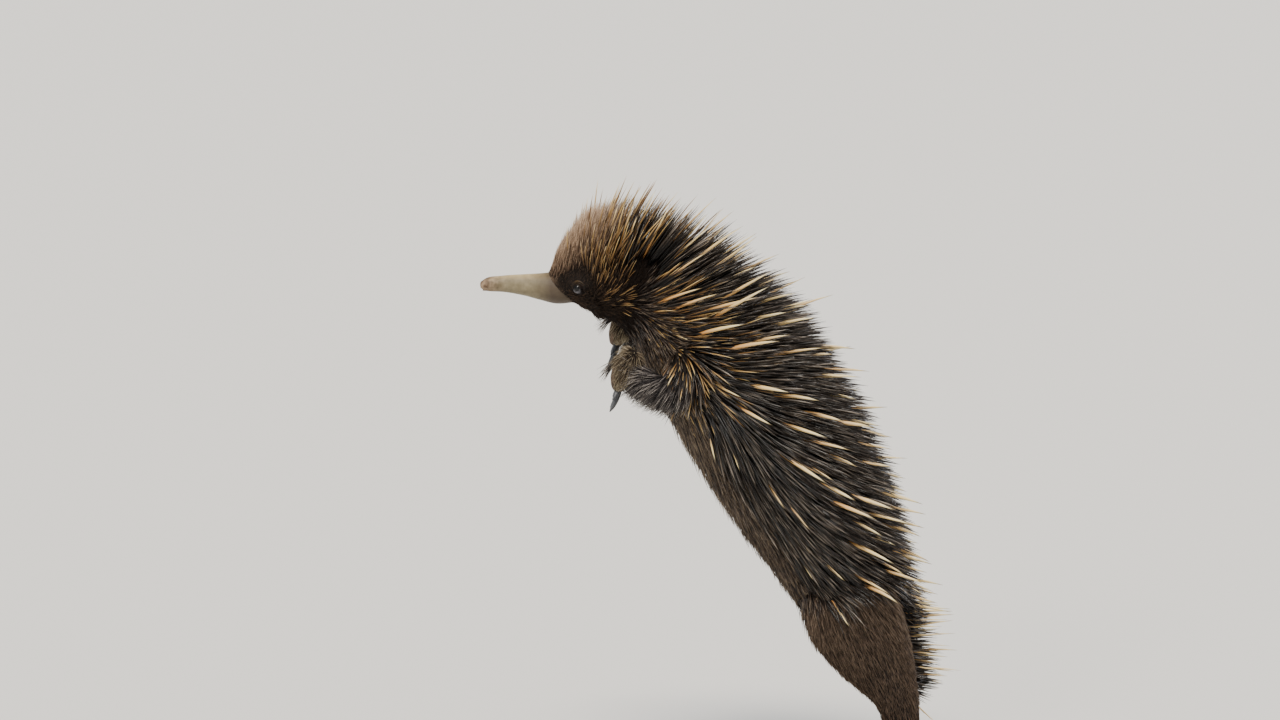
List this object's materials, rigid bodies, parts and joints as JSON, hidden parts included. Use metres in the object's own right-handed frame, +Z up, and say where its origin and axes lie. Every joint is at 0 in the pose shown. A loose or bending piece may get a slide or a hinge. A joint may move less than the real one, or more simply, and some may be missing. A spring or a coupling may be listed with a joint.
{
  "type": "echidna",
  "caption": "Still, life-size short-beaked echidna reaching up on its hind feet, with spines over its back, on a flat display base.",
  "frame": {"origin": "middle of the display base's flat underside", "axes": "+Z up, the beak towards -X, the animal's left side towards -Y"},
  "size_m": [0.3813, 0.22, 0.4302],
  "materials": {
    "coat": "dense coat of dark brown quills and fur, with cream spines among them",
    "face_fur": "short dark brown fur with golden brown spines on the crown",
    "beak_skin": "bare olive grey skin, finely creased",
    "eye": "wet, glossy black",
    "paw_skin": "pale brown skin and short fur, with grey horn claws",
    "stand": "dark stained wood with a satin varnish"
  },
  "bodies": {
    "root": {"head": "face_fur", "beak": "beak_skin", "neck": "coat", "torso": "coat", "tail": "coat", "eye_left": "eye", "eye_right": "eye", "foreleg_left": "coat", "foreleg_right": "coat", "forepaw_left": "paw_skin", "forepaw_right": "paw_skin", "hindleg_left": "coat", "hindleg_right": "coat", "hindfoot_left": "paw_skin", "hindfoot_right": "paw_skin", "stand_base": "stand"}
  },
  "joints": []
}
